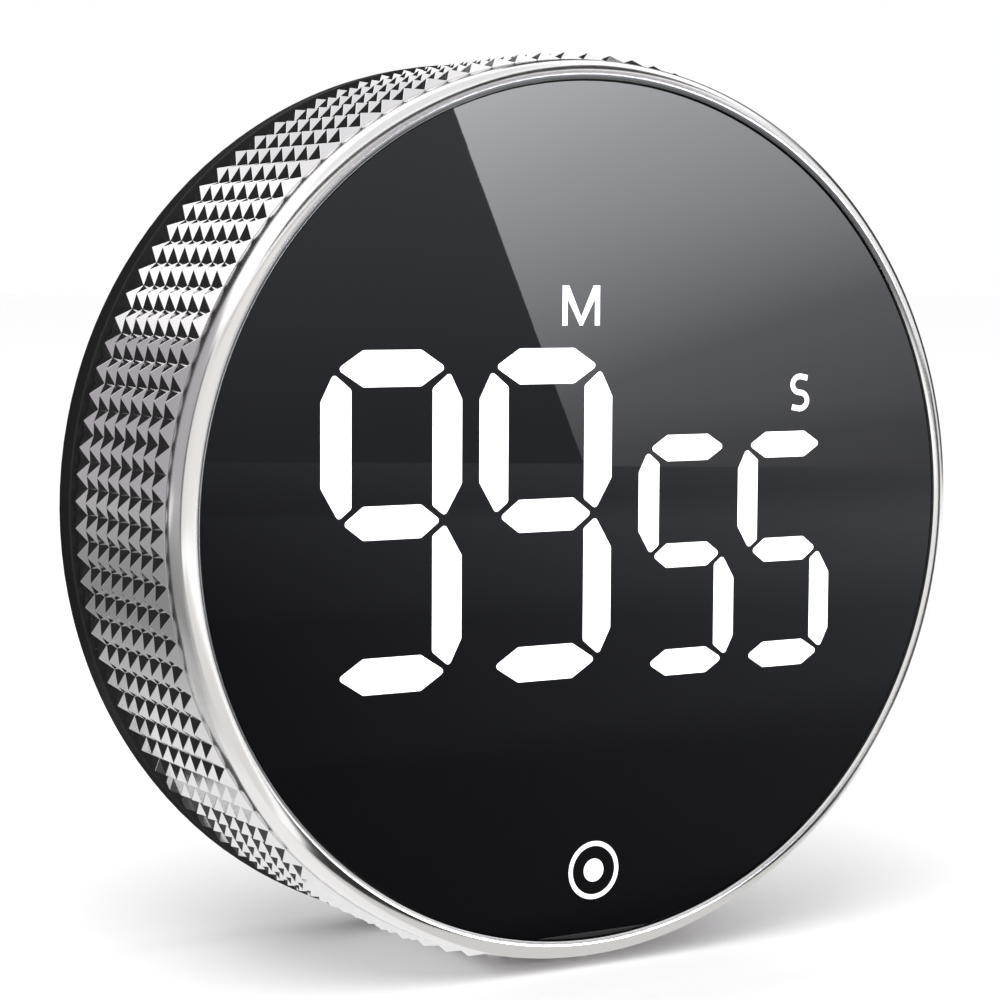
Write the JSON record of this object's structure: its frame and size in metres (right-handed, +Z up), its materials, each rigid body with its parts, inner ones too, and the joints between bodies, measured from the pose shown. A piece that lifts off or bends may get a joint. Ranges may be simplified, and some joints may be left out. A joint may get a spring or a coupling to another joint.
{
  "type": "kitchen timer",
  "caption": "Round magnetic kitchen timer: a knurled metal dial sets the time, a gloss black front shows lit digits and presses to start, with a battery door behind.",
  "frame": {"origin": "centre of the plane where the rubber ring on the back meets the steel door that the timer hangs on", "axes": "+Z up with the digits upright, -Y out of the display, +Y into the door, +X to the right seen from the front"},
  "size_m": [0.078, 0.0285, 0.078],
  "materials": {
    "black_abs": "fine satin black",
    "frame_plastic": "matte black",
    "screw_steel": "zinc plated",
    "grip_rubber": "matte",
    "magnet_nickel": "nickel plated",
    "cell_sleeve": "gloss sleeve with a plain band",
    "contact_steel": "nickel plated",
    "bezel_metal": "satin polished",
    "knurl_chrome": "bright, diamond knurled",
    "gear_plastic": "natural acetal, dark",
    "board_green": "solder mask",
    "led_body": "white resin",
    "diffuser": "milky film",
    "chip_resin": "moulded resin",
    "passive_ceramic": "satin",
    "encoder_blue": "moulded",
    "pinion_nylon": "natural nylon",
    "knob_plastic": "satin",
    "panel_gloss": "high gloss acrylic",
    "lit_white": "lit from behind",
    "legend_white": "printed white",
    "wire_red": "insulation"
  },
  "bodies": {
    "housing": {"rear_housing": "black_abs", "inner_frame": "frame_plastic", "housing_screws": "screw_steel", "grip_ring": "grip_rubber", "magnets": "magnet_nickel", "battery_cell_left": "cell_sleeve", "battery_cell_middle": "cell_sleeve", "battery_cell_right": "cell_sleeve", "battery_springs": "contact_steel", "contact_plates": "contact_steel", "bezel_ring": "bezel_metal", "main_board": "board_green", "board_screws": "screw_steel", "display_housing": "frame_plastic", "display_leds": "led_body", "diffuser_film": "diffuser", "controller_chip": "chip_resin", "driver_chip": "chip_resin", "board_passives": "passive_ceramic", "quartz_crystal": "contact_steel", "tact_switch_body": "chip_resin", "encoder_body": "encoder_blue", "buzzer": "chip_resin", "switch_board": "board_green", "volume_switch_body": "contact_steel", "hook_up_wires": "wire_red"},
    "dial": {"knurled_sleeve": "knurl_chrome", "dial_gear_ring": "gear_plastic"},
    "encoder_spindle": {"encoder_shaft": "screw_steel", "encoder_pinion": "pinion_nylon"},
    "front_button": {"display_panel": "panel_gloss", "lit_segments": "lit_white", "panel_legends": "legend_white", "panel_carrier": "frame_plastic"},
    "tact_button": {"tact_plunger": "led_body"},
    "volume_slide": {"volume_knob": "knob_plastic", "volume_lever": "chip_resin"},
    "door": {"battery_door": "black_abs"}
  },
  "joints": [
    {"name": "dial_turn", "type": "hinge", "parent": "housing", "child": "dial", "pos_m": [0, -0.014, 0], "axis": [0, 1, 0], "continuous": true},
    {"name": "encoder_spin", "type": "hinge", "parent": "housing", "child": "encoder_spindle", "pos_m": [-0.0285, -0.0117, 0], "axis": [0, 1, 0], "continuous": true},
    {"name": "panel_press", "type": "hinge", "parent": "housing", "child": "front_button", "pos_m": [0, -0.0246, 0.0295], "axis": [1, 0, 0], "range_deg": [0, 0.35], "stiffness_Nm_per_rad": 10, "springref_deg": -0.1},
    {"name": "tact_press", "type": "slide", "parent": "housing", "child": "tact_button", "axis": [0, 1, 0], "range_m": [0, 0.00036]},
    {"name": "volume_set", "type": "slide", "parent": "housing", "child": "volume_slide", "axis": [0, 0, 1], "range_m": [-0.0015, 0.0015]},
    {"name": "door_swing", "type": "hinge", "parent": "housing", "child": "door", "pos_m": [0, -0.0016, -0.0279], "axis": [-1, 0, 0], "range_deg": [0, 80]}
  ],
  "couplings": [
    {"joint": "encoder_spin", "follows": "dial_turn", "ratio": 4.8},
    {"joint": "tact_press", "follows": "panel_press", "m_per_rad": 0.0571}
  ]
}
